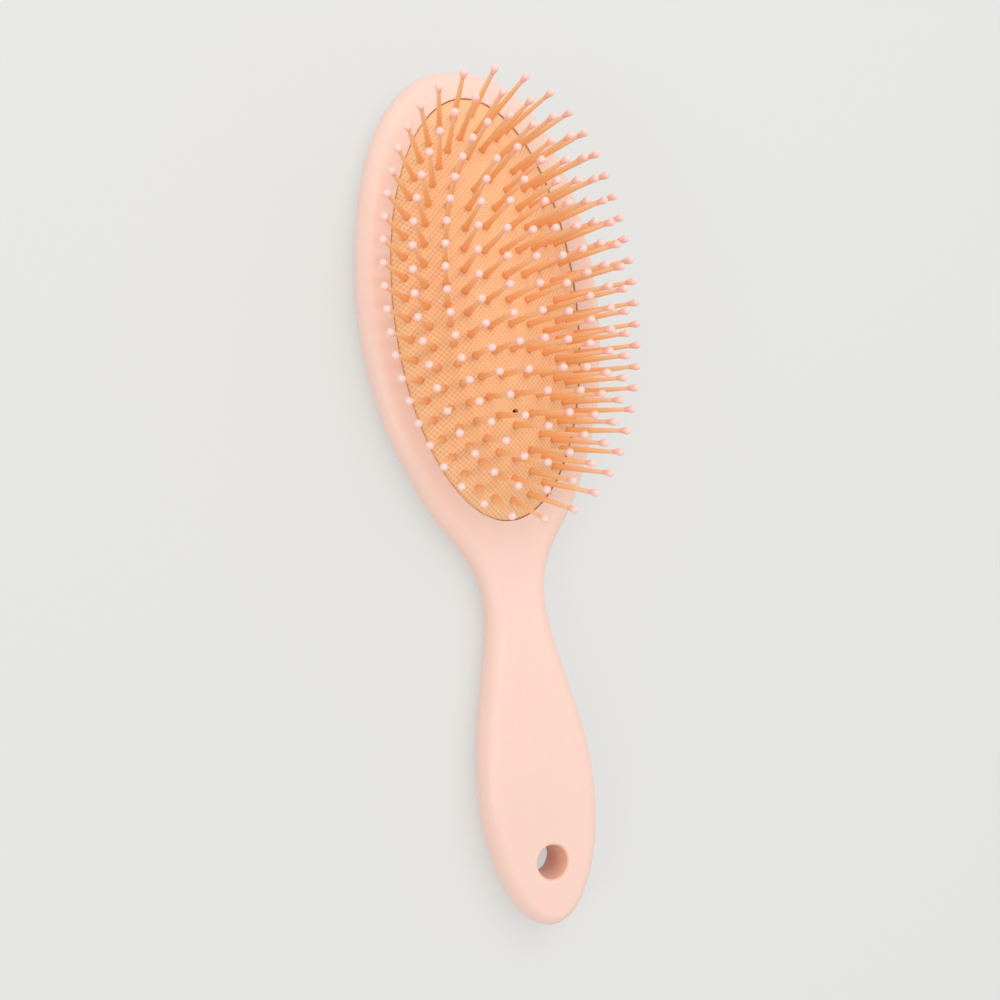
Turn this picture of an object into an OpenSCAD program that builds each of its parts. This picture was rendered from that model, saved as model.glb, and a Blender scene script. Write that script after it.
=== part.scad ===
// Oval cushion hair brush for detangling. The body is one moulding, with a flat face, a flat
// back and rounded sides. A domed rubber cushion is set into its head, clamped by a flange
// in a groove. Tapered pins stand through the cushion on wide feet, and each has a ball tip.
// The brush lies on its back with its pins up: X is its width, Y its length, with the head
// end at +Y, and Z its thickness.

/* [Body] */
// Length from the handle's end to the head's end
overall_l = 241; // [228:1:270]
// Width of the head
head_w = 74.7; // [72:0.1:84]
// Distance from the head's end to its widest place
head_wide_from_end = 67; // [60:1:74]
// Width of the neck
neck_w = 18.1; // [14:0.1:24]
// Distance from the handle's end to the neck's narrowest place
neck_from_end = 88.7; // [80:0.1:96]
// Width of the handle
handle_w = 34.7; // [32:0.1:40]
// Distance from the handle's end to its widest place
handle_wide_from_end = 36.8; // [32:0.1:40]
// Thickness of the head
head_t = 10.6; // [10:0.1:13]
// Thickness of the handle
handle_t = 13.5; // [12:0.1:17]
// Distance from the head's end to where the face starts to rise to the handle
face_rise_from_end = 133; // [120:1:135]
// Length over which the face rises
face_rise_l = 81; // [40:1:82]
// How far the face's edge is rounded inwards
front_round = 3.8; // [3:0.1:6]
// How far the back's edge is rounded inwards
back_round = 6.5; // [5:0.1:7]

/* [Hang hole] */
// Diameter of the hang hole
hang_hole_d = 9.3; // [6:0.1:11]
// Distance from the handle's end to the middle of the hang hole
hang_hole_from_end = 18; // [16:0.1:24]
// Radius of the hang hole's rounded rims
hang_hole_rim_r = 0.9; // [0.4:0.1:1.4]

/* [Recess] */
// Thickness of the back under the recess
floor_t = 3.4; // [2.6:0.1:4]
// Thickness of the lip that holds the cushion down
lip_t = 2; // [1.6:0.1:2.4]
// Height of the groove under the lip
groove_h = 1.8; // [1.4:0.1:2]
// Depth of the groove, outwards from the recess wall
groove_depth = 1.6; // [1:0.1:2.4]

/* [Cushion] */
// Length of the cushion
cushion_l = 119.2; // [112:0.2:122]
// Width of the cushion
cushion_w = 57; // [54:0.2:60]
// Distance from the head's end to the middle of the cushion
cushion_from_end = 68.2; // [66:0.1:74]
// Height of the cushion's crown above the face
crown_h = 12.7; // [10:0.1:15]
// How far the cushion's edge lies below the face
edge_tuck = 0.8; // [0.4:0.1:1.4]
// Thickness of the rubber
rubber_t = 1.8; // [1.4:0.1:2.2]
// Gap that shows between the cushion and the lip
cushion_gap = 0.25; // [0.2:0.05:0.6]
// Gap between the flange and its groove
flange_gap = 0.12; // [0.05:0.01:0.2]
// Diameter of the vent hole that lets air out of the cushion
vent_d = 1.7; // [0.8:0.1:1.8]

/* [Pins] */
// Length of a pin from the cushion to the middle of its ball
pin_l = 18.8; // [14:0.1:22]
// Diameter of a pin where it leaves the cushion
pin_root_d = 1.8; // [1.5:0.05:2.2]
// Diameter of a pin in its ball
pin_top_d = 1.1; // [0.9:0.05:1.4]
// Diameter of the ball tips
ball_d = 2.2; // [2:0.05:2.8]
// Length of the neck that narrows from the middle of a ball down to its stem
ball_neck_l = 2.2; // [1.8:0.1:3]
// Thickness of the neck's wall at its lower end
ball_neck_t = 0.1; // [0.06:0.01:0.2]
// Diameter of the foot that holds a pin under the rubber
foot_d = 3.6; // [3:0.1:3.8]
// Thickness of the foot
foot_t = 0.7; // [0.5:0.1:1]
// Gap between a foot and the rubber above it
foot_gap = 0.45; // [0.4:0.05:0.6]
// Gap between a pin and the edge of its hole in the rubber
pin_hole_gap = 0.12; // [0.08:0.01:0.2]
// Gap between a pin's end and its socket in the ball
socket_gap = 0.02; // [0.01:0.01:0.04]
// Distance between the pins in the middle row
middle_row_pitch = 6.65; // [6:0.05:7]
// Number of pins in the middle row
middle_row_pins = 5; // [1:2:5]

/* [Hidden] */

body_colour = [0.98, 0.83, 0.77];
rubber_colour = [1, 0.77, 0.57];
pin_colour = [0.96, 0.7, 0.47];
ball_colour = [0.99, 0.82, 0.78];

// How far cuts run past the faces that they cut
overrun = 1;

// Places along the brush, with zero halfway
handle_end_y = -overall_l / 2;
head_end_y = overall_l / 2;
handle_wide_y = handle_end_y + handle_wide_from_end;
neck_y = handle_end_y + neck_from_end;
head_wide_y = head_end_y - head_wide_from_end;
hang_hole_y = handle_end_y + hang_hole_from_end;
cushion_y = head_end_y - cushion_from_end;
face_rise_y = head_end_y - face_rise_from_end;

// The outline's points between its widest and narrowest places: across is the share of the
// change in width, and along is the share of the length
end_across_shares = [0, 0.39, 0.67, 0.9];
end_along_shares = [0, 0.08, 0.26, 0.57];
grip_across_shares = [0, 0.12, 0.51, 0.88];
grip_along_shares = [0, 0.27, 0.58, 0.84];
flare_across_shares = [0, 0.05, 0.18, 0.4, 0.61, 0.81, 0.94];
flare_along_shares = [0, 0.11, 0.2, 0.3, 0.43, 0.59, 0.77];
head_across_shares = [0, 0.02, 0.09, 0.18, 0.32, 0.51, 0.7, 1];
head_along_shares = [0, 0.2, 0.42, 0.6, 0.77, 0.9, 0.97, 1];
outline_steps = 3;

// Of the body's thickness, the share that the back's rounding takes
back_height_share = 0.6;
back_round_steps = 6;
front_round_steps = 5;

// The rings of pins, from the middle outwards: their pins, and their length and width as
// shares of the cushion's
ring_pin_counts = [16, 26, 36, 40, 46];
ring_length_shares = [0.43, 0.57, 0.72, 0.81, 0.91];
ring_width_shares = [0.215, 0.41, 0.575, 0.75, 0.905];
ring_steps = 120;

// How far each ring's pins lean outwards at its sides and at its ends, in degrees
ring_side_leans = [7, 13.5, 24, 32, 38.5];
ring_end_leans = [6.5, 9, 10, 15.5, 20.5];
// How far the lean of each ring's corner pins turns towards its sides, in degrees
ring_corner_turns = [0, 0, -8, 0, 10];
// How much more each pin in the middle row leans than the one before it, in degrees
middle_row_lean = 1.3;
// How far all the pins lean to the head's end, in degrees
head_lean = 1.5;

// Radius of a ball's neck where it meets the ball's middle, as a share of the ball's
ball_neck_share = 0.95;

// The vent hole's distance from the cushion's middle, as a share of its half length
vent_share = 0.51;

// Half sizes of the cushion and of its recess
cushion_a = cushion_l / 2;
cushion_b = cushion_w / 2;
recess_a = cushion_a + cushion_gap;
recess_b = cushion_b + cushion_gap;
flange_depth = cushion_gap + groove_depth - flange_gap;
lip_z = head_t - lip_t;
groove_z = lip_z - groove_h;
ellipse_steps = 72;

// The dome is part of a spheroid that turns about a line along the brush. It is as wide as
// the recess at the cushion's edge, so the sides of the cushion cut it off
dome_z = head_t - edge_tuck;
dome_h = crown_h + edge_tuck;
dome_a = recess_a;
dome_b = recess_b;
dome_axis_drop = (dome_b * dome_b - dome_h * dome_h) / (2 * dome_h);
dome_axis_z = dome_z - dome_axis_drop;
dome_steps = 40;

pin_facets = 24;

function mix(from, to, share) = from + (to - from) * share;

function clamp(value, low, high) = max(low, min(high, value));

function smooth(share) = share * share * (3 - 2 * share);

function zone(w_from, w_to, y_from, y_to, across, along) =
    [for (i = [0 : len(across) - 1]) [mix(w_from, w_to, across[i]) / 2, mix(y_from, y_to, along[i])]];

function spline_point(p, q, r, s, t) =
    ((2 * q) + (r - p) * t + (2 * p - 5 * q + 4 * r - s) * t * t
    + (3 * q - p - 3 * r + s) * t * t * t) / 2;

// A smooth closed curve through the points
function closed_spline(points, steps) =
    let (n = len(points))
    [for (i = [0 : n - 1], k = [0 : steps - 1])
        spline_point(points[(i + n - 1) % n], points[i], points[(i + 1) % n], points[(i + 2) % n],
            k / steps)];

// The right half of the outline, from the handle's end to the head's end
half_outline = concat(
    zone(0, handle_w, handle_end_y, handle_wide_y, end_across_shares, end_along_shares),
    zone(handle_w, neck_w, handle_wide_y, neck_y, grip_across_shares, grip_along_shares),
    zone(neck_w, head_w, neck_y, head_wide_y, flare_across_shares, flare_along_shares),
    zone(head_w, 0, head_wide_y, head_end_y, head_across_shares, head_along_shares)
);
half_count = len(half_outline) - 1;
outline = closed_spline(
    concat(half_outline, [for (i = [half_count - 1 : -1 : 1]) [-half_outline[i].x, half_outline[i].y]]),
    outline_steps
);
outline_count = len(outline);

// The unit direction that points out of the outline at each of its points
outline_normals = [for (i = [0 : outline_count - 1])
    let (
        step = outline[(i + 1) % outline_count] - outline[(i + outline_count - 1) % outline_count]
    )
    [step.y, -step.x] / norm(step)];

// Thickness of the body at a place along it
function thickness(y) =
    mix(head_t, handle_t, smooth(clamp((face_rise_y - y) / face_rise_l, 0, 1)));

// Each layer of the body: how far it lies in from the outline, and its height as a share of
// the thickness
body_layers = concat(
    [for (k = [0 : back_round_steps])
        let (turn = 90 * k / back_round_steps)
        [back_round * (1 - sin(turn)), back_height_share * (1 - cos(turn))]],
    [for (k = [1 : front_round_steps])
        let (turn = 90 * k / front_round_steps)
        [front_round * (1 - cos(turn)), mix(back_height_share, 1, sin(turn))]]
);

module body_blank() {
    last = len(body_layers) - 1;
    half = outline_count / 2;
    points = [for (layer = body_layers, i = [0 : outline_count - 1])
        let (at = outline[i] - outline_normals[i] * layer[0])
        [at.x, at.y, thickness(at.y) * layer[1]]];
    sides = [for (k = [0 : last - 1], i = [0 : outline_count - 1])
        let (j = (i + 1) % outline_count, low = k * outline_count, high = low + outline_count)
        each [[low + i, high + i, high + j], [low + i, high + j, low + j]]];
    // Strips across the back, from the handle's end to the head's end
    strips = [for (i = [0 : half - 1])
        let (far = outline_count - i)
        [i, i + 1, far - 1, far % outline_count]];
    back_faces = [for (strip = strips) [for (i = [0 : 3])
        if (strip[i] != strip[(i + 3) % 4]) strip[i]]];
    front_faces = [for (face = back_faces) [for (i = [len(face) - 1 : -1 : 0])
        face[i] + last * outline_count]];
    polyhedron(points = points, faces = concat(sides, back_faces, front_faces), convexity = 4);
}

function ellipse_points(a, b) =
    [for (i = [0 : ellipse_steps - 1])
        let (turn = 360 * i / ellipse_steps)
        [b * sin(turn), a * cos(turn)]];

module oval_block(a, b, z_from, z_to) {
    translate([0, cushion_y, z_from])
        linear_extrude(z_to - z_from)
            polygon(ellipse_points(a, b));
}

// Cuts a round edge around a hole of radius r, whose rim lies at height zero
module rim_cutter(r, edge_r) {
    rotate_extrude($fn = 48)
        difference() {
            translate([0, -edge_r])
                square([r + edge_r, edge_r + overrun]);
            translate([r + edge_r, -edge_r])
                circle(edge_r, $fn = 48);
        }
}

module handle_body() {
    color(body_colour)
        difference() {
            body_blank();
            oval_block(recess_a, recess_b, floor_t, thickness(cushion_y - recess_a) + overrun);
            oval_block(recess_a + groove_depth, recess_b + groove_depth, groove_z, lip_z);
            translate([0, hang_hole_y, -overrun])
                cylinder(h = handle_t + 2 * overrun, d = hang_hole_d, $fn = 64);
            translate([0, hang_hole_y, handle_t])
                rim_cutter(hang_hole_d / 2, hang_hole_rim_r);
            translate([0, hang_hole_y, 0])
                mirror([0, 0, 1])
                    rim_cutter(hang_hole_d / 2, hang_hole_rim_r);
        }
}

// Radius of the dome's spheroid at a distance along the cushion from its middle
function dome_r(y) =
    sqrt(pow(dome_axis_drop, 2) + pow(dome_b, 2) * (1 - pow(y / dome_a, 2)));

// Height of the rubber's outer face over the brush's back
function dome_top(x, y) = dome_axis_z + sqrt(pow(dome_r(y), 2) - x * x);

// The spheroid, thinned by a wall all round, between two ends along the cushion
module dome_solid(end, wall) {
    translate([0, cushion_y, dome_axis_z])
        rotate([-90, 0, 0])
            rotate_extrude($fn = 96)
                polygon(concat(
                    [[0, end], [0, -end]],
                    [for (k = [0 : dome_steps])
                        let (y = mix(-end, end, k / dome_steps))
                        [dome_r(y) - wall, y]]
                ));
}

// A piece of the cushion's block under the dome
module domed_block(inset) {
    intersection() {
        oval_block(cushion_a - inset, cushion_b - inset, groove_z + flange_gap, head_t + crown_h);
        dome_solid(recess_a, inset);
    }
}

module cushion() {
    color(rubber_colour)
        difference() {
            union() {
                domed_block(0);
                oval_block(cushion_a + flange_depth, cushion_b + flange_depth,
                    groove_z + flange_gap, lip_z - flange_gap);
            }
            intersection() {
                oval_block(cushion_a - rubber_t, cushion_b - rubber_t, floor_t, head_t + crown_h);
                dome_solid(recess_a, rubber_t);
            }
            for (place = all_places)
                stand_on_dome(place)
                    translate([0, 0, -2 * rubber_t])
                        cylinder(h = 4 * rubber_t, d = pin_root_d + 2 * pin_hole_gap, $fn = 20);
            translate([0, cushion_y - vent_share * cushion_a, head_t])
                cylinder(h = crown_h, d = vent_d, $fn = 20);
        }
}

// Lengths along an oval, each with the turn that it reaches
function oval_lengths(a, b) =
    [for (
        i = 0, length = 0;
        i <= ring_steps;
        i = i + 1,
        length = length + norm([
            b * (sin(360 * i / ring_steps) - sin(360 * (i - 1) / ring_steps)),
            a * (cos(360 * i / ring_steps) - cos(360 * (i - 1) / ring_steps))
        ])
    ) [length, 360 * i / ring_steps]];

// Turns that space places evenly along an oval, from its head end
function oval_turns(a, b, count) =
    let (lengths = oval_lengths(a, b), total = lengths[ring_steps][0])
    [for (k = [0 : count - 1]) lookup(total * k / count, lengths)];

// Each pin's distances from the cushion's middle, across and along, and then the slopes
// across and along at which it leans
function ring_places(ring) =
    let (
        a = ring_length_shares[ring - 1] * cushion_a,
        b = ring_width_shares[ring - 1] * cushion_b,
        side_slope = tan(ring_side_leans[ring - 1]),
        end_slope = tan(ring_end_leans[ring - 1])
    )
    [for (turn = oval_turns(a, b, ring_pin_counts[ring - 1]))
        let (lean_turn = turn + ring_corner_turns[ring - 1] * sin(2 * turn))
        [-b * sin(turn), a * cos(turn),
            -side_slope * sin(lean_turn), end_slope * cos(lean_turn) + tan(head_lean)]];

middle_row_places = [for (k = [0 : middle_row_pins - 1])
    let (step = k - (middle_row_pins - 1) / 2)
    [0, step * middle_row_pitch, 0, tan(step * middle_row_lean) + tan(head_lean)]];

all_places = concat(
    middle_row_places,
    [for (ring = [1 : len(ring_pin_counts)]) each ring_places(ring)]
);

// Moves a pin to its place on the rubber and leans it
module stand_on_dome(place) {
    slopes = [place[2], place[3]];
    translate([place.x, cushion_y + place.y, dome_top(place.x, place.y)])
        rotate([0, atan(norm(slopes)), atan2(slopes.y, slopes.x)])
            children();
}

// A foot under the rubber, a neck through it and a tapered stem
module pin() {
    foot_top = -rubber_t - foot_gap;
    rotate_extrude($fn = pin_facets)
        polygon([
            [0, foot_top - foot_t],
            [foot_d / 2, foot_top - foot_t],
            [foot_d / 2, foot_top],
            [pin_root_d / 2, foot_top],
            [pin_root_d / 2, 0],
            [pin_top_d / 2, pin_l],
            [0, pin_l]
        ]);
}

// Radius of the socket for the stem, at a distance below the middle of the ball
function socket_r(depth) =
    pin_top_d / 2 + socket_gap + (pin_root_d - pin_top_d) / 2 * depth / pin_l;

// A ball with a neck, and a tapered socket for the end of the stem
module tip() {
    socket_l = ball_neck_l + overrun;
    translate([0, 0, pin_l])
        difference() {
            union() {
                sphere(d = ball_d, $fn = pin_facets);
                translate([0, 0, -ball_neck_l])
                    cylinder(
                        h = ball_neck_l,
                        r1 = socket_r(ball_neck_l) + ball_neck_t,
                        r2 = ball_neck_share * ball_d / 2,
                        $fn = pin_facets
                    );
            }
            translate([0, 0, -socket_l])
                cylinder(
                    h = socket_l + socket_gap,
                    r1 = socket_r(socket_l),
                    r2 = pin_top_d / 2 + socket_gap,
                    $fn = pin_facets
                );
        }
}

module pins(places) {
    color(pin_colour)
        for (place = places)
            stand_on_dome(place)
                pin();
}

module tips(places) {
    color(ball_colour)
        for (place = places)
            stand_on_dome(place)
                tip();
}

module middle_row_pins() pins(middle_row_places);
module ring_1_pins() pins(ring_places(1));
module ring_2_pins() pins(ring_places(2));
module ring_3_pins() pins(ring_places(3));
module ring_4_pins() pins(ring_places(4));
module ring_5_pins() pins(ring_places(5));
module middle_row_tips() tips(middle_row_places);
module ring_1_tips() tips(ring_places(1));
module ring_2_tips() tips(ring_places(2));
module ring_3_tips() tips(ring_places(3));
module ring_4_tips() tips(ring_places(4));
module ring_5_tips() tips(ring_places(5));

handle_body();
cushion();
middle_row_pins();
ring_1_pins();
ring_2_pins();
ring_3_pins();
ring_4_pins();
ring_5_pins();
middle_row_tips();
ring_1_tips();
ring_2_tips();
ring_3_tips();
ring_4_tips();
ring_5_tips();
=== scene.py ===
import math

import bmesh
import bpy
import numpy as np
from mathutils import Matrix, Vector
from mathutils.geometry import delaunay_2d_cdt
from mathutils.kdtree import KDTree


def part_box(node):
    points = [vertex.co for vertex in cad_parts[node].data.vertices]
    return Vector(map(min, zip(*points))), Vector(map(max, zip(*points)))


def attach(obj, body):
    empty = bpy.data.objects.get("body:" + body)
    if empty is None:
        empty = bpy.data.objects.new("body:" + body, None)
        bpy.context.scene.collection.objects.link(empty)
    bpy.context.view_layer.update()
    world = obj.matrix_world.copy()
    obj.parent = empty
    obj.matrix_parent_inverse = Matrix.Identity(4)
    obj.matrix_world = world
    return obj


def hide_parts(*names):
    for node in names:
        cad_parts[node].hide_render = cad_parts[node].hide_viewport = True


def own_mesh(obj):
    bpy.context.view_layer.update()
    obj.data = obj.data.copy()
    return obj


MM = 0.001


def colour(red, green, blue):
    """A colour given from 0 to 255 as on a screen, made linear as a shader takes it."""
    def linear(value):
        share = value / 255
        return share / 12.92 if share <= 0.04045 else ((share + 0.055) / 1.055) ** 2.4
    return (linear(red), linear(green), linear(blue), 1)


# The body's sizes
FACE_RISE_FROM_END = 133 * MM
FACE_RISE_LENGTH = 81 * MM
HEAD_WIDE_FROM_END = 67 * MM
NECK_WIDTH = 18.1 * MM
NECK_FROM_END = 88.7 * MM
HANDLE_WIDTH = 34.7 * MM
HANDLE_WIDE_FROM_END = 36.8 * MM
HEAD_THICKNESS = 10.6 * MM
FRONT_ROUND = 3.8 * MM
BACK_ROUND = 6.5 * MM
BACK_HEIGHT_SHARE = 0.6
# The outline's places between its widths, each as a share across and a share along
END_SHARES = ((0, 0), (0.39, 0.08), (0.67, 0.26), (0.9, 0.57))
GRIP_SHARES = ((0, 0), (0.12, 0.27), (0.51, 0.58), (0.88, 0.84))
FLARE_SHARES = (
    (0, 0), (0.05, 0.11), (0.18, 0.2), (0.4, 0.3), (0.61, 0.43), (0.81, 0.59), (0.94, 0.77),
)
HEAD_SHARES = (
    (0, 0), (0.02, 0.2), (0.09, 0.42), (0.18, 0.6), (0.32, 0.77), (0.51, 0.9), (0.7, 0.97), (1, 1),
)

# The hang hole
HOLE_RADIUS = 4.65 * MM
HOLE_FROM_END = 18 * MM
HOLE_RIM = 0.9 * MM

# The recess in the head, and the groove that holds the cushion's flange
FLOOR_THICKNESS = 3.4 * MM
LIP_THICKNESS = 2 * MM
LIP_RIM = 0.1 * MM
GROOVE_HEIGHT = 1.8 * MM
GROOVE_DEPTH = 1.6 * MM

# The cushion, its seam and its vent hole
CUSHION_HALF_LENGTH = 59.6 * MM
CUSHION_HALF_WIDTH = 28.5 * MM
CUSHION_FROM_END = 68.2 * MM
CUSHION_GAP = 0.25 * MM
CROWN_HEIGHT = 12.7 * MM
EDGE_TUCK = 0.8 * MM
EDGE_ROUND = 0.15 * MM
SEAM_DEPTH = 0.45 * MM
SEAM_FILL = 0.17 * MM
RUBBER_THICKNESS = 1.8 * MM
FLANGE_GAP = 0.12 * MM
VENT_RADIUS = 0.85 * MM
VENT_SHARE = 0.51

# The pins, their ball tips and the rings in which they stand
PIN_LENGTH = 18.8 * MM
PIN_ROOT_RADIUS = 0.9 * MM
PIN_TOP_RADIUS = 0.55 * MM
PIN_FLARE = 0.15 * MM
PIN_HOLE_RADIUS = 0.93 * MM
FOOT_RADIUS = 1.8 * MM
FOOT_THICKNESS = 0.7 * MM
FOOT_DEPTH = 2.25 * MM
BALL_RADIUS = 1.1 * MM
BALL_NECK = 2.2 * MM
ROW_PITCH = 6.65 * MM
ROW_PINS = 5
RING_PINS = (16, 26, 36, 40, 46)
RING_LENGTH_SHARES = (0.43, 0.57, 0.72, 0.81, 0.91)
RING_WIDTH_SHARES = (0.215, 0.41, 0.575, 0.75, 0.905)
RING_STEPS = 120

# How far the pins lean outwards, at the sides and the ends of each ring and along the middle
# row, how far the lean of a ring's corner pins turns, and how far all lean to the head's end
RING_SIDE_LEANS = np.radians((7, 13.5, 24, 32, 38.5))
RING_END_LEANS = np.radians((6.5, 9, 10, 15.5, 20.5))
RING_CORNER_TURNS = np.radians((0, 0, -8, 0, 10))
ROW_LEAN = math.radians(1.3)
HEAD_LEAN = math.radians(1.5)

# How finely the shapes are drawn
OUTLINE_POINTS = 320
BACK_STEPS = 10
FRONT_STEPS = 9
RIM_STEPS = 5
FLAT_EDGE = 0.3 * MM
FACE_PITCH = 4 * MM
HOLE_POINTS = 72
RECESS_POINTS = 240
PIN_HOLE_POINTS = 12
CUSHION_RINGS = 34
CUSHION_TURNS = 170
CUSHION_LEAST_TURNS = 6
PIN_CLEARANCE = 0.6 * MM
COLLAR_WIDTH = 0.3 * MM
COLLAR_RISE = 0.12 * MM
PIN_SIDES = 10
FLARE_HEIGHT = 1.1 * MM
STEP_HEIGHT = 0.05 * MM
BALL_SIDES = 12
BALL_STEPS = 6
BALL_LOW_TURN = math.radians(-14)
BALL_HIGH_TURN = math.radians(87)
CDT_REACH = 1e-6
SHARP_ANGLE = math.radians(40)

# The lattice of pits in the rubber, which looks like a fine weave: its pitches across and along,
# its depth, and the shares of red, green and blue that the painted shade in a pit takes away
WEAVE_PITCHES = (1.36 * MM, 1.46 * MM)
WEAVE_DEPTH = 0.12 * MM
WEAVE_PIT_POWER = 2.0
WEAVE_PIT_PAINTED_SHADE = Vector((0.13, 0.34, 0.45))
WEAVE_BUMP = 0.5
WEAVE_GRAIN = 0.15

# Each finish has soft clouds in its tint and roughness, and a fine grain over them
BODY_FINISH = {
    "Cloud Scale": 25.0, "Cloud Depth": 0.04, "Grain Scale": 2500.0,
    "Roughness": 0.33, "Roughness Depth": 0.08,
}
RUBBER_FINISH = {
    "Cloud Scale": 60.0, "Cloud Depth": 0.06, "Grain Scale": 1800.0,
    "Roughness": 0.6, "Roughness Depth": 0.1,
}
STEM_FINISH = {
    "Cloud Scale": 150.0, "Cloud Depth": 0.06, "Grain Scale": 4000.0,
    "Roughness": 0.4, "Roughness Depth": 0.1,
}
BALL_FINISH = {**STEM_FINISH, "Roughness": 0.28}
CLOUD_DETAIL = 3.0
GRAIN_DETAIL = 2.0
NOISE_MIDDLE = 0.5
GRAIN_DEPTH = 0.05 * MM
BODY_GRAIN_BUMP = 0.06
PIN_GRAIN_BUMP = 0.05
BODY_GLOSS = 0.45

# How much light goes into the body's plastic, and how far its red, green and blue go
LIGHT_SHARE = 0.5
LIGHT_REACH = 4 * MM
LIGHT_REACH_SHARES = (1, 0.4, 0.25)

# How far over its rounded rim the hang hole keeps the full painted glow of its walls
BORE_PAINTED_GLOW_SHARE = 0.25

BODY_COLOUR = colour(249, 213, 200)
# Painted glow: the bore's walls are painted warmer and brighter, for light coming through the plastic
BORE_PAINTED_GLOW_COLOUR = colour(255, 206, 184)
RUBBER_COLOUR = colour(255, 208, 158)
FLOOR_COLOUR = colour(228, 228, 226)
PIN_COLOURS = (
    (0.0, colour(246, 176, 116)), (0.1, colour(252, 190, 130)),
    (0.6, colour(254, 206, 152)), (0.9, colour(254, 212, 176)),
)
BALL_COLOURS = ((0.9, colour(255, 188, 170)), (0.97, colour(255, 213, 203)))

# The floor and the lights, whose powers are in watts
FLOOR_REACH = 3.0
FLOOR_GAP = 0.1 * MM
FLOOR_GLOW = 0.6
FLOOR_ROUGHNESS = 0.9
WORLD_STRENGTH = 0.7
KEY_PLACE = (0.07, 0.36, 0.8)
KEY_SIZE = 0.8
KEY_POWER = 3.35
FILL_PLACE = (-0.9, -0.2, 0.6)
FILL_SIZE = 0.3
FILL_POWER = 1.35
FILL_TINT = (1, 0.93, 0.78)

# The camera stands where the photograph was taken from. Its lens and sensor are in millimetres
SENSOR_WIDTH = 36
LENS = 48.27
CAMERA_PLACE = Vector((-166.4, -9.65, 346.3)) * MM
CAMERA_AIM = Vector((-2.9, -1.45, 10.6)) * MM
CAMERA_UP = Vector((0.0877, 0.9939, 0.0669))

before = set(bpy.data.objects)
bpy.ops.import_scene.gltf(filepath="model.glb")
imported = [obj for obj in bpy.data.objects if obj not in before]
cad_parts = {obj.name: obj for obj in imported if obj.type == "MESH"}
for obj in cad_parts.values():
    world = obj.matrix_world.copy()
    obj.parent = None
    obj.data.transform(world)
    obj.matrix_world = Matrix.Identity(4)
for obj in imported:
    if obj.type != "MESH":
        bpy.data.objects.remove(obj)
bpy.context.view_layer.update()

body_low, body_high = (Vector(corner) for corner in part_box("handle_body"))
HEAD_WIDTH = body_high.x - body_low.x
HANDLE_THICKNESS = body_high.z
HANDLE_END = body_low.y
HEAD_END = body_high.y
CUSHION_Y = HEAD_END - CUSHION_FROM_END
FACE_RISE_Y = HEAD_END - FACE_RISE_FROM_END
HOLE_Y = HANDLE_END + HOLE_FROM_END
RECESS_HALF_LENGTH = CUSHION_HALF_LENGTH + CUSHION_GAP
RECESS_HALF_WIDTH = CUSHION_HALF_WIDTH + CUSHION_GAP
LIP_Z = HEAD_THICKNESS - LIP_THICKNESS
GROOVE_Z = LIP_Z - GROOVE_HEIGHT

# The rubber's dome is part of a spheroid that turns about a line along the brush
DOME_Z = HEAD_THICKNESS - EDGE_TUCK
DOME_HEIGHT = CROWN_HEIGHT + EDGE_TUCK
DOME_DROP = (RECESS_HALF_WIDTH**2 - DOME_HEIGHT**2) / (2 * DOME_HEIGHT)
DOME_AXIS_Z = DOME_Z - DOME_DROP
VENT_Y = -CUSHION_HALF_LENGTH * VENT_SHARE


def mix(start, end, share):
    return start + (end - start) * share


def thickness(y):
    """The body's thickness at a place along it: the face rises smoothly to the handle."""
    share = np.clip((FACE_RISE_Y - y) / FACE_RISE_LENGTH, 0, 1)
    return mix(HEAD_THICKNESS, HANDLE_THICKNESS, share * share * (3 - 2 * share))


def dome_height(x, y, wall=0.0):
    """The height of the rubber's face, or of the face under a wall, over the brush's back."""
    radius = np.sqrt(DOME_DROP**2 + RECESS_HALF_WIDTH**2 * (1 - (y / RECESS_HALF_LENGTH) ** 2))
    return DOME_AXIS_Z + np.sqrt(np.maximum((radius - wall) ** 2 - x * x, 0))


def zone(width_from, width_to, y_from, y_to, shares):
    """Points of the outline's right half, from one width and place along the body to another."""
    return [
        (mix(width_from, width_to, across) / 2, mix(y_from, y_to, along))
        for across, along in shares
    ]


def smooth_loop(points, count):
    """A closed cubic spline through the points, sampled evenly along its length."""
    points = np.array(points)
    ahead = np.roll(points, -1, axis=0)
    spans = np.linalg.norm(ahead - points, axis=1)
    before = np.roll(spans, 1)
    n = len(points)
    system = np.zeros((n, n))
    for i in range(n):
        system[i, i - 1] += before[i]
        system[i, i] += 2 * (before[i] + spans[i])
        system[i, (i + 1) % n] += spans[i]
    slopes = (ahead - points) / spans[:, None]
    bends = np.linalg.solve(system, 6 * (slopes - np.roll(slopes, 1, axis=0)))
    knots = np.concatenate(([0], np.cumsum(spans)))
    places = np.linspace(0, knots[-1], count, endpoint=False)
    i = np.searchsorted(knots, places, side="right") - 1
    j = (i + 1) % n
    span = spans[i][:, None]
    done = (places - knots[i])[:, None]
    left = span - done
    return (
        (bends[i] * left**3 + bends[j] * done**3) / (6 * span)
        + (points[i] / span - bends[i] * span / 6) * left
        + (points[j] / span - bends[j] * span / 6) * done
    )


def oval(half_length, half_width, count):
    """Points round an oval from its head end, about the cushion's middle."""
    turn = np.linspace(0, 2 * np.pi, count, endpoint=False)
    return np.column_stack((-half_width * np.sin(turn), half_length * np.cos(turn)))


def middle_row():
    """The pins of the middle row, each as its place and the slopes at which it leans."""
    steps = np.arange(ROW_PINS) - (ROW_PINS - 1) / 2
    ahead = np.tan(steps * ROW_LEAN) + math.tan(HEAD_LEAN)
    return np.column_stack((0 * steps, steps * ROW_PITCH, 0 * steps, ahead))


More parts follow.
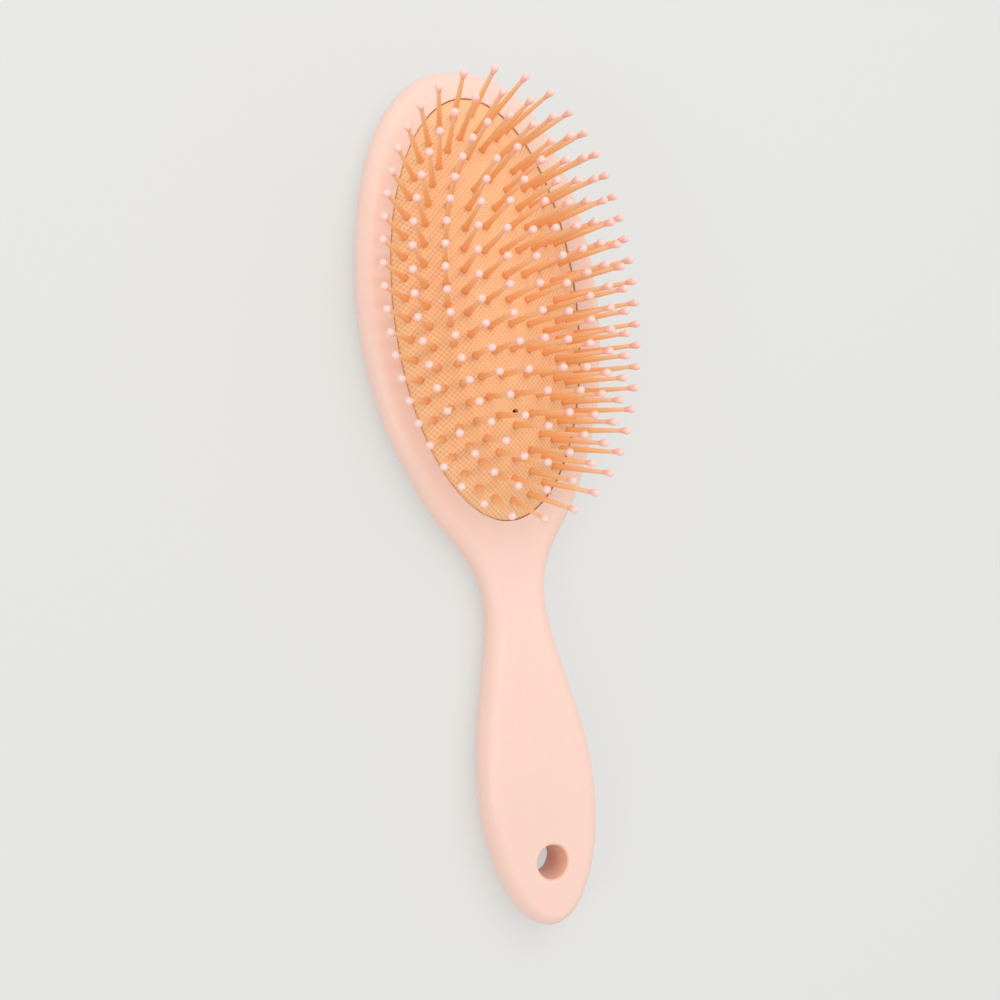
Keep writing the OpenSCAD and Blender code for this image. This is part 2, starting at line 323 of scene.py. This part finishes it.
def ring_of_pins(ring):
    """The pins spaced evenly along their oval, from its head end, in the same form."""
    half_length = RING_LENGTH_SHARES[ring] * CUSHION_HALF_LENGTH
    half_width = RING_WIDTH_SHARES[ring] * CUSHION_HALF_WIDTH
    turns = np.linspace(0, 2 * np.pi, RING_STEPS + 1)
    around = np.column_stack((-half_width * np.sin(turns), half_length * np.cos(turns)))
    lengths = np.concatenate(([0], np.cumsum(np.linalg.norm(np.diff(around, axis=0), axis=1))))
    turn = np.interp(np.arange(RING_PINS[ring]) / RING_PINS[ring] * lengths[-1], lengths, turns)
    lean_turn = turn + RING_CORNER_TURNS[ring] * np.sin(2 * turn)
    aside = -math.tan(RING_SIDE_LEANS[ring]) * np.sin(lean_turn)
    ahead = math.tan(RING_END_LEANS[ring]) * np.cos(lean_turn) + math.tan(HEAD_LEAN)
    return np.column_stack((-half_width * np.sin(turn), half_length * np.cos(turn), aside, ahead))


PIN_GROUPS = {"middle_row": middle_row()}
for number in range(len(RING_PINS)):
    PIN_GROUPS[f"ring_{number + 1}"] = ring_of_pins(number)


def within(points, rim):
    """Which of the points lie inside a closed outline."""
    x, y = points[:, 0, None], points[:, 1, None]
    ahead = np.roll(rim, -1, axis=0)
    crosses = (rim[:, 1] > y) != (ahead[:, 1] > y)
    rise = np.where(ahead[:, 1] == rim[:, 1], 1, ahead[:, 1] - rim[:, 1])
    reach = rim[:, 0] + (y - rim[:, 1]) * (ahead[:, 0] - rim[:, 0]) / rise
    return np.count_nonzero(crosses & (x < reach), axis=1) % 2 == 1


def clear_of(points, rims, gap):
    """Which of the points lie inside the first outline, outside the others and off them all."""
    kept = within(points, rims[0])
    for rim in rims[1:]:
        kept &= ~within(points, rim)
    corners = np.vstack(rims)
    tree = KDTree(len(corners))
    for k, (x, y) in enumerate(corners):
        tree.insert((x, y, 0), k)
    tree.balance()
    for k in np.flatnonzero(kept):
        kept[k] = tree.find((*points[k], 0))[2] > gap
    return kept


class Skin:
    """A closed mesh built from loops of points, bands between them and caps across them."""

    def __init__(self):
        self.points = []
        self.faces = []

    def loop(self, xy, z):
        start = len(self.points)
        heights = np.broadcast_to(z, len(xy))
        self.points.extend((x, y, height) for (x, y), height in zip(xy, heights))
        return list(range(start, start + len(xy)))

    def bands(self, loops):
        for first, second in zip(loops, loops[1:]):
            ahead = first[1:] + first[:1], second[1:] + second[:1]
            self.faces.extend(zip(first, *ahead, second))

    def cap(self, rims, inside, gap, height):
        """Triangles inside the first rim and outside the others, through the points inside."""
        flat = [np.array([self.points[k][:2] for k in rim]) for rim in rims]
        free = inside[clear_of(inside, flat, gap)]
        fixed = [k for rim in rims for k in rim]
        edges = []
        for rim in rims:
            start = len(edges)
            edges += [(start + k, start + (k + 1) % len(rim)) for k in range(len(rim))]
        corners = [Vector(point) / MM for point in (*np.vstack(flat), *free)]
        places, _, triangles, origins, _, _ = delaunay_2d_cdt(corners, edges, [], 0, CDT_REACH)
        numbers = []
        for place, origin in zip(places, origins):
            if origin[0] < len(fixed):
                numbers.append(fixed[origin[0]])
            else:
                numbers.append(len(self.points))
                x, y = place * MM
                self.points.append((x, y, float(height(x, y))))
        middles = MM * np.array([
            sum((places[k] for k in triangle), Vector((0, 0))) / len(triangle) for triangle in triangles
        ])
        kept = within(middles, flat[0])
        for rim in flat[1:]:
            kept &= ~within(middles, rim)
        self.faces.extend([numbers[k] for k in triangles[i]] for i in np.flatnonzero(kept))

    def build(self, name, material):
        mesh = bpy.data.meshes.new(name)
        mesh.from_pydata([tuple(map(float, point)) for point in self.points], [], self.faces)
        work = bmesh.new()
        work.from_mesh(mesh)
        bmesh.ops.recalc_face_normals(work, faces=work.faces)
        work.to_mesh(mesh)
        work.free()
        mesh.shade_smooth()
        mesh.set_sharp_from_angle(angle=SHARP_ANGLE)
        mesh.materials.append(material)
        piece = bpy.data.objects.new(name, mesh)
        bpy.context.collection.objects.link(piece)
        return piece


def grid(x_reach, y_from, y_to, pitch):
    """Evenly spaced points, which give a cap's triangles an even size."""
    xs = np.arange(-x_reach, x_reach + pitch, pitch)
    ys = np.arange(y_from, y_to + pitch, pitch)
    return np.array([(x, y) for y in ys for x in xs])


def quarter(steps):
    """Turns from zero to a quarter, without the first."""
    return [math.pi / 2 * k / steps for k in range(1, steps + 1)]


# Body

def body_outline():
    handle_wide_y = HANDLE_END + HANDLE_WIDE_FROM_END
    neck_y = HANDLE_END + NECK_FROM_END
    head_wide_y = HEAD_END - HEAD_WIDE_FROM_END
    half = (
        zone(0, HANDLE_WIDTH, HANDLE_END, handle_wide_y, END_SHARES)
        + zone(HANDLE_WIDTH, NECK_WIDTH, handle_wide_y, neck_y, GRIP_SHARES)
        + zone(NECK_WIDTH, HEAD_WIDTH, neck_y, head_wide_y, FLARE_SHARES)
        + zone(HEAD_WIDTH, 0, head_wide_y, HEAD_END, HEAD_SHARES)
    )
    left = [(-x, y) for x, y in half[-2:0:-1]]
    return smooth_loop(half + left, OUTLINE_POINTS)


def make_body(material):
    """Handle, neck and head in one, with rounded sides, the hang hole and the cushion's recess."""
    skin = Skin()
    outline = body_outline()
    step = np.roll(outline, -1, axis=0) - np.roll(outline, 1, axis=0)
    outwards = np.column_stack((step[:, 1], -step[:, 0])) / np.linalg.norm(step, axis=1)[:, None]

    def layer(inset, share):
        at = outline - outwards * inset
        return skin.loop(at, thickness(at[:, 1]) * share)

    sides = [layer(BACK_ROUND, 0)]
    for turn in quarter(BACK_STEPS):
        inset = BACK_ROUND * (1 - math.sin(turn))
        sides.append(layer(inset, BACK_HEIGHT_SHARE * (1 - math.cos(turn))))
    for turn in quarter(FRONT_STEPS):
        inset = FRONT_ROUND * (1 - math.cos(turn))
        sides.append(layer(inset, mix(BACK_HEIGHT_SHARE, 1, math.sin(turn))))
    sides.append(layer(FRONT_ROUND + FLAT_EDGE, 1))
    skin.bands(sides)

    around = np.linspace(0, 2 * np.pi, HOLE_POINTS, endpoint=False)
    circle = np.column_stack((np.cos(around), np.sin(around)))

    def hole_loop(radius, z):
        return skin.loop(circle * radius + (0, HOLE_Y), z)

    rim = [(HOLE_RADIUS + HOLE_RIM + FLAT_EDGE, 0), (HOLE_RADIUS + HOLE_RIM, 0)]
    for turn in quarter(RIM_STEPS):
        rim.append((HOLE_RADIUS + HOLE_RIM * (1 - math.sin(turn)), HOLE_RIM * (1 - math.cos(turn))))
    hole = [hole_loop(radius, depth) for radius, depth in rim]
    hole += [hole_loop(radius, HANDLE_THICKNESS - depth) for radius, depth in reversed(rim)]
    skin.bands(hole)

    def recess_loop(grow, z=None, drop=0):
        """An oval round the recess, at a height or a little under the face."""
        at = oval(RECESS_HALF_LENGTH + grow, RECESS_HALF_WIDTH + grow, RECESS_POINTS) + (0, CUSHION_Y)
        return skin.loop(at, thickness(at[:, 1]) - drop if z is None else z)

    recess = [recess_loop(LIP_RIM + FLAT_EDGE), recess_loop(LIP_RIM)]
    for turn in quarter(RIM_STEPS):
        recess.append(recess_loop(LIP_RIM * (1 - math.sin(turn)), drop=LIP_RIM * (1 - math.cos(turn))))
    recess += [recess_loop(0, LIP_Z), recess_loop(GROOVE_DEPTH, LIP_Z)]
    recess += [recess_loop(GROOVE_DEPTH, GROOVE_Z), recess_loop(0, GROOVE_Z)]
    recess.append(recess_loop(0, FLOOR_THICKNESS))
    skin.bands(recess)

    spread = grid(HEAD_WIDTH / 2, HANDLE_END, HEAD_END, FACE_PITCH)
    skin.cap([sides[-1], recess[0], hole[-1]], spread, FACE_PITCH / 2, lambda x, y: thickness(y))
    skin.cap([sides[0], hole[0]], spread, FACE_PITCH / 2, lambda x, y: 0)
    skin.cap([recess[-1]], spread, FACE_PITCH / 2, lambda x, y: FLOOR_THICKNESS)
    return skin.build("body", material)


# Cushion

def make_cushion(material):
    """A hollow rubber dome, with its flange in the body's groove and a hole for every pin."""
    skin = Skin()
    middle = np.array((0, CUSHION_Y))

    def edge_loop(inset, z):
        at = oval(CUSHION_HALF_LENGTH - inset, CUSHION_HALF_WIDTH - inset, RECESS_POINTS)
        return skin.loop(at + middle, z)

    def dome_loop(inset, wall=0, drop=0):
        at = oval(CUSHION_HALF_LENGTH - inset, CUSHION_HALF_WIDTH - inset, RECESS_POINTS)
        return skin.loop(at + middle, dome_height(at[:, 0], at[:, 1], wall) - drop)

    # Down over the edge, round the flange in its groove and up the inside
    outside = [dome_loop(EDGE_ROUND)]
    for turn in quarter(RIM_STEPS):
        inset = EDGE_ROUND * (1 - math.sin(turn))
        outside.append(dome_loop(inset, drop=EDGE_ROUND / 2 * (1 - math.cos(turn))))
    flange = CUSHION_GAP + GROOVE_DEPTH - FLANGE_GAP
    low, high = GROOVE_Z + FLANGE_GAP, LIP_Z - FLANGE_GAP
    outside += [edge_loop(0, DOME_Z - SEAM_DEPTH / 2), edge_loop(-SEAM_FILL, DOME_Z - SEAM_DEPTH)]
    outside += [edge_loop(-SEAM_FILL, high), edge_loop(-flange, high), edge_loop(-flange, low)]
    outside += [edge_loop(RUBBER_THICKNESS, low), dome_loop(RUBBER_THICKNESS, wall=RUBBER_THICKNESS)]
    skin.bands(outside)

    around = np.linspace(0, 2 * np.pi, PIN_HOLE_POINTS, endpoint=False)

    def dome_hole(place, lean, profile):
        """Loops down a hole: each is a radius, a wall of the dome and a rise above it."""
        turn = lean.to_track_quat("Z", "Y")
        loops = []
        for radius, wall, rise in profile:
            depth = lean * wall
            at = []
            for angle in around:
                ring = turn @ Vector((radius * math.cos(angle), radius * math.sin(angle), 0)) - depth
                at.append((place[0] + ring.x, place[1] + ring.y))
            at = np.array(at)
            loops.append(skin.loop(at + middle, dome_height(at[:, 0], at[:, 1], wall) + rise))
        return loops

    tops, bottoms = [], []
    pin_profile = [
        (PIN_HOLE_RADIUS + COLLAR_WIDTH, 0, 0),
        (PIN_HOLE_RADIUS + COLLAR_WIDTH / 2, 0, COLLAR_RISE),
        (PIN_HOLE_RADIUS, 0, COLLAR_RISE / 2),
        (PIN_HOLE_RADIUS, RUBBER_THICKNESS, 0),
    ]
    vent_profile = [
        (VENT_RADIUS + COLLAR_RISE, 0, 0),
        (VENT_RADIUS, 0, -COLLAR_RISE),
        (VENT_RADIUS, RUBBER_THICKNESS, 0),
    ]
    holes = [
        (pin[:2], Vector((*pin[2:], 1)).normalized(), pin_profile)
        for group in PIN_GROUPS.values() for pin in group
    ]
    holes.append(((0, VENT_Y), Vector((0, 0, 1)), vent_profile))
    for place, lean, profile in holes:
        loops = dome_hole(place, lean, profile)
        skin.bands(loops)
        tops.append(loops[0])
        bottoms.append(loops[-1])

    spread = []
    for share in np.linspace(0, 1, CUSHION_RINGS + 1)[1:]:
        count = max(CUSHION_LEAST_TURNS, int(CUSHION_TURNS * share))
        spread.append(oval(CUSHION_HALF_LENGTH * share, CUSHION_HALF_WIDTH * share, count))
    spread = np.vstack(spread) + middle

    def dome_at(wall):
        return lambda x, y: dome_height(x, y - CUSHION_Y, wall)

    skin.cap([outside[0], *tops], spread, PIN_CLEARANCE, dome_at(0))
    skin.cap([outside[-1], *bottoms], spread, PIN_CLEARANCE, dome_at(RUBBER_THICKNESS))
    return skin.build("rubber_cushion", material)


# Node trees

def add(tree, kind, inputs=None, **settings):
    """A node with its settings, its plain values and its links."""
    made = tree.nodes.new(kind)
    for name, value in settings.items():
        setattr(made, name, value)
    for name, value in (inputs or {}).items():
        if isinstance(value, bpy.types.NodeSocket):
            tree.links.new(value, made.inputs[name])
        else:
            made.inputs[name].default_value = value
    return made


def maths(tree, operation, first, second=0.0):
    return add(tree, "ShaderNodeMath", {0: first, 1: second}, operation=operation).outputs[0]


# Pins

def places_tree(name, sizes):
    """An empty tree that takes places, sizes and a material and gives pins, with its inputs."""
    tree = bpy.data.node_groups.new(name, "GeometryNodeTree")
    tree.interface.new_socket("Places", in_out="INPUT", socket_type="NodeSocketGeometry")
    for label, value in sizes.items():
        kind = "NodeSocketInt" if isinstance(value, int) else "NodeSocketFloat"
        tree.interface.new_socket(label, in_out="INPUT", socket_type=kind).default_value = value
    tree.interface.new_socket("Material", in_out="INPUT", socket_type="NodeSocketMaterial")
    tree.interface.new_socket("Pins", in_out="OUTPUT", socket_type="NodeSocketGeometry")
    return tree, tree.nodes.new("NodeGroupInput").outputs


def lathe(tree, stations, sides):
    """A round solid about the Z axis, through stations that each have a height and a radius."""
    index = tree.nodes.new("GeometryNodeInputIndex").outputs[0]

    def by_station(column):
        switch = add(tree, "GeometryNodeIndexSwitch", {"Index": index}, data_type="FLOAT")
        while len(switch.index_switch_items) < len(stations):
            switch.index_switch_items.new()
        for k, station in enumerate(stations):
            if isinstance(station[column], bpy.types.NodeSocket):
                tree.links.new(station[column], switch.inputs[k + 1])
            else:
                switch.inputs[k + 1].default_value = station[column]
        return switch.outputs[0]

    line = add(tree, "GeometryNodeMeshLine", {"Count": len(stations)})
    place = add(tree, "ShaderNodeCombineXYZ", {"Z": by_station(0)})
    raised = add(tree, "GeometryNodeSetPosition",
                 {"Geometry": line.outputs[0], "Position": place.outputs[0]})
    path = add(tree, "GeometryNodeMeshToCurve", {"Mesh": raised.outputs[0]})
    section = add(tree, "GeometryNodeCurvePrimitiveCircle", {"Resolution": sides, "Radius": 1.0})
    return add(tree, "GeometryNodeCurveToMesh", {
        "Curve": path.outputs[0], "Profile Curve": section.outputs[0],
        "Scale": by_station(1), "Fill Caps": True,
    }).outputs[0]


def finish_tree(tree, given, shape):
    """Marks each point with its height along the pin, and puts the shape at every place."""
    position = tree.nodes.new("GeometryNodeInputPosition").outputs[0]
    up = add(tree, "ShaderNodeSeparateXYZ", {0: position}).outputs["Z"]
    marked = add(tree, "GeometryNodeStoreNamedAttribute", {
        "Geometry": shape, "Name": "height", "Value": maths(tree, "DIVIDE", up, given["Length"]),
    }, data_type="FLOAT", domain="POINT")
    lean = add(tree, "GeometryNodeInputNamedAttribute", {"Name": "lean"}, data_type="FLOAT_VECTOR")
    turn = add(tree, "FunctionNodeAlignRotationToVector", {"Vector": lean.outputs[0]}, axis="Z")
    copies = add(tree, "GeometryNodeInstanceOnPoints",
                 {"Points": given["Places"], "Instance": marked.outputs[0], "Rotation": turn.outputs[0]})
    solid = add(tree, "GeometryNodeRealizeInstances", {"Geometry": copies.outputs[0]})
    smooth = add(tree, "GeometryNodeSetShadeSmooth", {"Geometry": solid.outputs[0]})
    dressed = add(tree, "GeometryNodeSetMaterial",
                  {"Geometry": smooth.outputs[0], "Material": given["Material"]})
    add(tree, "NodeGroupOutput", {"Pins": dressed.outputs[0]})
    return tree


def stem_tree():
    """Each pin: a foot under the rubber, a neck through it, a flared root and a tapered stem."""
    tree, given = places_tree("pin_stems", {
        "Length": PIN_LENGTH, "Root Radius": PIN_ROOT_RADIUS, "Top Radius": PIN_TOP_RADIUS,
        "Flare": PIN_FLARE, "Flare Height": FLARE_HEIGHT, "Foot Radius": FOOT_RADIUS,
        "Foot Thickness": FOOT_THICKNESS, "Foot Depth": FOOT_DEPTH, "Sides": PIN_SIDES,
    })
    root, top, foot = given["Root Radius"], given["Top Radius"], given["Foot Radius"]
    foot_top = maths(tree, "MULTIPLY", given["Foot Depth"], -1.0)
    half_flare = maths(tree, "MULTIPLY", given["Flare Height"], 0.5)
    stations = [
        (maths(tree, "SUBTRACT", foot_top, given["Foot Thickness"]), foot),
        (foot_top, foot),
        (maths(tree, "ADD", foot_top, STEP_HEIGHT), root),
        (0.0, root),
        (STEP_HEIGHT, maths(tree, "ADD", root, given["Flare"])),
        (half_flare, maths(tree, "ADD", root, maths(tree, "MULTIPLY", given["Flare"], 0.5))),
        (given["Flare Height"], root),
        (given["Length"], top),
    ]
    return finish_tree(tree, given, lathe(tree, stations, given["Sides"]))


def ball_tree():
    """Each pin's tip: a ball at the end of the stem, drawn down to it in a slender neck."""
    tree, given = places_tree("pin_balls", {
        "Length": PIN_LENGTH, "Ball Radius": BALL_RADIUS, "Neck": BALL_NECK,
        "Stem Radius": PIN_TOP_RADIUS + STEP_HEIGHT, "Sides": BALL_SIDES,
    })
    stations = [(maths(tree, "SUBTRACT", given["Length"], given["Neck"]), given["Stem Radius"])]
    for turn in np.linspace(BALL_LOW_TURN, BALL_HIGH_TURN, BALL_STEPS + 1):
        rise = maths(tree, "MULTIPLY", given["Ball Radius"], math.sin(turn))
        stations.append((
            maths(tree, "ADD", given["Length"], rise),
            maths(tree, "MULTIPLY", given["Ball Radius"], math.cos(turn)),
        ))
    return finish_tree(tree, given, lathe(tree, stations, given["Sides"]))


def make_pins(name, places, tree, material):
    """The stems or tips of one group of pins, as a plain mesh."""
    mesh = bpy.data.meshes.new(name)
    on_dome = [(x, CUSHION_Y + y, float(dome_height(x, y))) for x, y in places[:, :2]]
    mesh.from_pydata(on_dome, [], [])
    leans = mesh.attributes.new("lean", "FLOAT_VECTOR", "POINT")
    leans.data.foreach_set("vector", [c for aside, ahead in places[:, 2:] for c in (aside, ahead, 1)])
    start = bpy.data.objects.new(name, mesh)
    bpy.context.collection.objects.link(start)
    modifier = start.modifiers.new(name, "NODES")
    modifier.node_group = tree
    socket = next(item for item in tree.interface.items_tree if item.name == "Material")
    modifier[socket.identifier] = material
    evaluated = start.evaluated_get(bpy.context.evaluated_depsgraph_get())
    shape = bpy.data.meshes.new_from_object(evaluated)
    start.modifiers.clear()
    start.data = shape
    shape.name = name
    return start


# Materials

# The places of a mix node's sockets for colours
MIX_SHARE, MIX_FIRST, MIX_SECOND, MIX_RESULT = 0, 6, 7, 2


def moulded_finish():
    """The slight clouds and fine grain that moulded plastic and rubber share."""
    group = bpy.data.node_groups.new("moulded_finish", "ShaderNodeTree")
    group.interface.new_socket("Colour", in_out="INPUT", socket_type="NodeSocketColor")
    for label in BODY_FINISH:
        group.interface.new_socket(label, in_out="INPUT", socket_type="NodeSocketFloat")
    group.interface.new_socket("Colour", in_out="OUTPUT", socket_type="NodeSocketColor")
    for label in ("Roughness", "Height"):
        group.interface.new_socket(label, in_out="OUTPUT", socket_type="NodeSocketFloat")
    given = group.nodes.new("NodeGroupInput").outputs
    where = group.nodes.new("ShaderNodeTexCoord").outputs["Object"]
    clouds = add(group, "ShaderNodeTexNoise",
                 {"Vector": where, "Scale": given["Cloud Scale"], "Detail": CLOUD_DETAIL}).outputs["Fac"]
    grain = add(group, "ShaderNodeTexNoise",
                {"Vector": where, "Scale": given["Grain Scale"], "Detail": GRAIN_DETAIL}).outputs["Fac"]
    swing = maths(group, "SUBTRACT", clouds, NOISE_MIDDLE)
    light = maths(group, "ADD", maths(group, "MULTIPLY", swing, given["Cloud Depth"]), 1.0)
    tint = add(group, "ShaderNodeVectorMath", {0: given["Colour"], "Scale": light}, operation="SCALE")
    rough = maths(group, "ADD", maths(group, "MULTIPLY", swing, given["Roughness Depth"]),
                  given["Roughness"])
    add(group, "NodeGroupOutput", {"Colour": tint.outputs[0], "Roughness": rough, "Height": grain})
    return group


def material_with(name, moulding, finish):
    """A material whose colour, roughness and grain come from the moulded finish."""
    material = bpy.data.materials.new(name)
    material.use_nodes = True
    tree = material.node_tree
    shader = tree.nodes["Principled BSDF"]
    moulded = add(tree, "ShaderNodeGroup", finish, node_tree=moulding)
    tree.links.new(moulded.outputs["Colour"], shader.inputs["Base Color"])
    tree.links.new(moulded.outputs["Roughness"], shader.inputs["Roughness"])
    return material, tree, shader, moulded


def add_bump(tree, shader, height, strength, distance):
    bump = add(tree, "ShaderNodeBump", {"Height": height, "Strength": strength, "Distance": distance})
    tree.links.new(bump.outputs[0], shader.inputs["Normal"])


def body_plastic(moulding):
    """Peach plastic that lets some light through, with a painted warm glow on the walls of its bore."""
    material, tree, shader, moulded = material_with("peach_plastic", moulding, BODY_FINISH)
    where = add(tree, "ShaderNodeTexCoord").outputs["Object"]
    across = add(tree, "ShaderNodeVectorMath",
                 {0: where, 1: (1, 1, 0), 2: (0, -HOLE_Y, 0)}, operation="MULTIPLY_ADD").outputs[0]
    from_bore = add(tree, "ShaderNodeVectorMath", {0: across}, operation="LENGTH").outputs["Value"]
    outside = add(tree, "ShaderNodeMapRange", {
        "Value": from_bore,
        "From Min": HOLE_RADIUS + HOLE_RIM * BORE_PAINTED_GLOW_SHARE,
        "From Max": HOLE_RADIUS + HOLE_RIM,
    }, interpolation_type="SMOOTHSTEP").outputs[0]
    # Painted glow: towards the bore the colour turns to the warmer, brighter one painted for light
    # through the plastic
    base = add(tree, "ShaderNodeMix",
               {MIX_SHARE: outside, MIX_FIRST: BORE_PAINTED_GLOW_COLOUR, MIX_SECOND: BODY_COLOUR}, data_type="RGBA")
    tree.links.new(base.outputs[MIX_RESULT], moulded.inputs["Colour"])
    shader.inputs["Specular IOR Level"].default_value = BODY_GLOSS
    shader.inputs["Subsurface Weight"].default_value = LIGHT_SHARE
    shader.inputs["Subsurface Radius"].default_value = LIGHT_REACH_SHARES
    shader.inputs["Subsurface Scale"].default_value = LIGHT_REACH
    add_bump(tree, shader, moulded.outputs["Height"], BODY_GRAIN_BUMP, GRAIN_DEPTH)
    return material


def cushion_rubber(moulding):
    """Orange rubber with a moulded lattice of pits, like a fine weave, and painted shade in the pits."""
    material, tree, shader, moulded = material_with(
        "peach_rubber", moulding, {"Colour": RUBBER_COLOUR, **RUBBER_FINISH})
    where = add(tree, "ShaderNodeTexCoord").outputs["Object"]
    parts = add(tree, "ShaderNodeSeparateXYZ", {0: where}).outputs
    waves = []
    for place, pitch in zip(parts, WEAVE_PITCHES):
        waves.append(maths(tree, "COSINE", maths(tree, "MULTIPLY", place, 2 * math.pi / pitch)))
    lattice = maths(tree, "MULTIPLY", *waves)
    deep = maths(tree, "SUBTRACT", 0.5, maths(tree, "MULTIPLY", lattice, 0.5))
    pits = maths(tree, "POWER", deep, WEAVE_PIT_POWER)
    grain = maths(tree, "MULTIPLY", moulded.outputs["Height"], WEAVE_GRAIN)
    # Painted shade: each pit's colour is darkened and made more orange, for the shade that falls in it
    shade = add(tree, "ShaderNodeVectorMath",
                {0: pits, 1: -WEAVE_PIT_PAINTED_SHADE, 2: (1, 1, 1)}, operation="MULTIPLY_ADD").outputs[0]
    tint = add(tree, "ShaderNodeVectorMath",
               {0: moulded.outputs["Colour"], 1: shade}, operation="MULTIPLY").outputs[0]
    tree.links.new(tint, shader.inputs["Base Color"])
    add_bump(tree, shader, maths(tree, "SUBTRACT", grain, pits), WEAVE_BUMP, WEAVE_DEPTH)
    return material


def pin_plastic(name, moulding, finish, stops):
    """Smooth plastic whose colour changes along the pin, at the heights given."""
    material, tree, shader, moulded = material_with(name, moulding, finish)
    height = add(tree, "ShaderNodeAttribute", attribute_name="height").outputs["Fac"]
    ramp = add(tree, "ShaderNodeValToRGB", {"Fac": height})
    marks = ramp.color_ramp.elements
    while len(marks) < len(stops):
        marks.new(1.0)
    for mark, (place, shade) in zip(marks, stops):
        mark.position = place
        mark.color = shade
    tree.links.new(ramp.outputs["Color"], moulded.inputs["Colour"])
    add_bump(tree, shader, moulded.outputs["Height"], PIN_GRAIN_BUMP, GRAIN_DEPTH)
    return material


# Setting

def pale_floor():
    material = bpy.data.materials.new("pale_floor")
    material.use_nodes = True
    tree = material.node_tree
    shader = tree.nodes["Principled BSDF"]
    shader.inputs["Base Color"].default_value = FLOOR_COLOUR
    shader.inputs["Roughness"].default_value = FLOOR_ROUGHNESS
    # What looks at the floor straight or in a reflection sees it partly lit from within
    rays = add(tree, "ShaderNodeLightPath").outputs
    seen = maths(tree, "ADD", rays["Is Camera Ray"], rays["Is Glossy Ray"])
    seen = maths(tree, "ADD", seen, rays["Is Transmission Ray"])
    glow = add(tree, "ShaderNodeEmission", {"Color": FLOOR_COLOUR, "Strength": 1.0})
    blend = add(tree, "ShaderNodeMixShader", {
        0: maths(tree, "MULTIPLY", seen, FLOOR_GLOW), 1: shader.outputs[0], 2: glow.outputs[0],
    })
    tree.links.new(blend.outputs[0], tree.nodes["Material Output"].inputs["Surface"])
    mesh = bpy.data.meshes.new("floor")
    sides = (-1, -1), (1, -1), (1, 1), (-1, 1)
    corners = [(x * FLOOR_REACH, y * FLOOR_REACH, -FLOOR_GAP) for x, y in sides]
    mesh.from_pydata(corners, [], [(0, 1, 2, 3)])
    mesh.materials.append(material)
    floor = bpy.data.objects.new("floor", mesh)
    bpy.context.collection.objects.link(floor)


def soft_light(name, place, aim, size, power, tint=(1, 1, 1)):
    lamp = bpy.data.lights.new(name, "AREA")
    lamp.size = size
    lamp.energy = power
    lamp.color = tint
    holder = bpy.data.objects.new(name, lamp)
    holder.location = place
    holder.rotation_euler = (aim - place).to_track_quat("-Z", "Y").to_euler()
    bpy.context.collection.objects.link(holder)


def studio():
    world = bpy.data.worlds.new("studio")
    bpy.context.scene.world = world
    world.use_nodes = True
    background = world.node_tree.nodes["Background"]
    background.inputs["Color"].default_value = (1, 1, 1, 1)
    background.inputs["Strength"].default_value = WORLD_STRENGTH
    middle = Vector((0, 0, HEAD_THICKNESS))
    soft_light("key", Vector(KEY_PLACE), middle, KEY_SIZE, KEY_POWER)
    soft_light("fill", Vector(FILL_PLACE), middle, FILL_SIZE, FILL_POWER, FILL_TINT)


def camera():
    lens = bpy.data.cameras.new("camera")
    lens.lens = LENS
    lens.sensor_width = SENSOR_WIDTH
    holder = bpy.data.objects.new("camera", lens)
    back = (CAMERA_PLACE - CAMERA_AIM).normalized()
    right = CAMERA_UP.cross(back).normalized()
    up = back.cross(right)
    turn = Matrix((right, up, back)).transposed().to_4x4()
    holder.matrix_world = Matrix.Translation(CAMERA_PLACE) @ turn
    bpy.context.collection.objects.link(holder)
    bpy.context.scene.camera = holder


# The whole brush

camera()
studio()
pale_floor()
bpy.context.scene.view_settings.view_transform = "Standard"

moulding = moulded_finish()

body = make_body(body_plastic(moulding))
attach(body, "brush")
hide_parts("handle_body")

cushion = make_cushion(cushion_rubber(moulding))
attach(cushion, "brush")
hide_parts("cushion")
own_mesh(cushion)

stems, balls = stem_tree(), ball_tree()
stem_material = pin_plastic("orange_pins", moulding, STEM_FINISH, PIN_COLOURS)
ball_material = pin_plastic("pink_balls", moulding, BALL_FINISH, BALL_COLOURS)
for group, places in PIN_GROUPS.items():
    for part, tree, material, slot in (
        ("pins", stems, stem_material, "pin_plastic"),
        ("tips", balls, ball_material, "tip_plastic"),
    ):
        piece = make_pins(f"{group}_{part}_shown", places, tree, material)
        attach(piece, group)
        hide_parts(f"{group}_{part}")
